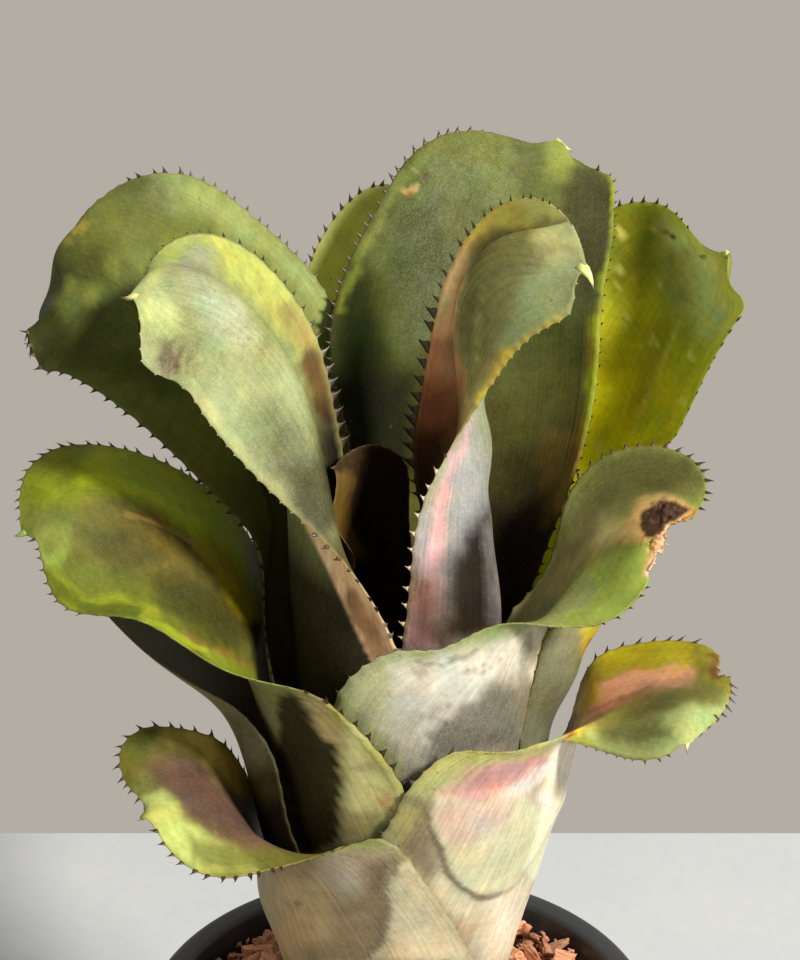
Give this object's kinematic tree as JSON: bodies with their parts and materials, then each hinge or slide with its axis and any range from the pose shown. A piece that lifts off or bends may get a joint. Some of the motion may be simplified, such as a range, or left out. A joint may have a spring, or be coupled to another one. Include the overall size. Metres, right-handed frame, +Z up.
{
  "type": "potted bromeliad",
  "caption": "Urn-shaped tank bromeliad with spiny, recurving leaves, rooted in coarse bark in a round black nursery pot.",
  "frame": {"origin": "centre of the pot's underside, on the surface the pot stands on", "axes": "+Z up along the pot's axis, -Y towards the side the two lowest leaves face, +X to that side's right"},
  "size_m": [0.2005, 0.1713, 0.3696],
  "materials": {
    "pot_plastic": "black injection-moulded nursery pot with a satin, slightly scuffed surface",
    "bark": "coarse reddish-brown bark chips with fine fibres, dry and matt",
    "stem_wood": "fibrous brown stem and roots",
    "leaf_purple_green": "waxy leaf, green margins with a purple-pink centre",
    "leaf_pink_green": "waxy leaf, yellow-green with pink flushes and a pale streaked sheath",
    "leaf_olive": "waxy olive leaf, brownish towards the base",
    "leaf_green": "waxy saturated green leaf with a darker sheath",
    "leaf_yellow_green": "waxy yellow-olive leaf with pale spots",
    "leaf_silver_green": "green leaf under silver-grey scurf",
    "leaf_dark_green": "dark green leaf, maroon towards the base"
  },
  "bodies": {
    "root": {"pot": "pot_plastic", "bark_substrate": "bark", "stem_with_roots": "stem_wood", "bark_chip_01": "bark", "bark_chip_02": "bark", "bark_chip_03": "bark", "bark_chip_04": "bark", "bark_chip_05": "bark", "bark_chip_06": "bark", "bark_chip_07": "bark", "bark_chip_08": "bark", "bark_chip_09": "bark", "bark_chip_10": "bark", "bark_chip_11": "bark", "bark_chip_12": "bark", "bark_chip_13": "bark", "bark_chip_14": "bark", "bark_chip_15": "bark", "leaf_front_left": "leaf_purple_green", "leaf_front_right_lower": "leaf_pink_green", "leaf_left_lower": "leaf_olive", "leaf_left": "leaf_green", "leaf_back_right": "leaf_yellow_green", "leaf_front_right_upper": "leaf_silver_green", "leaf_back_small": "leaf_olive", "leaf_back_left": "leaf_dark_green", "leaf_back_center": "leaf_dark_green", "leaf_inner_left": "leaf_silver_green", "leaf_inner_right": "leaf_yellow_green", "leaf_innermost": "leaf_olive"}
  },
  "joints": []
}
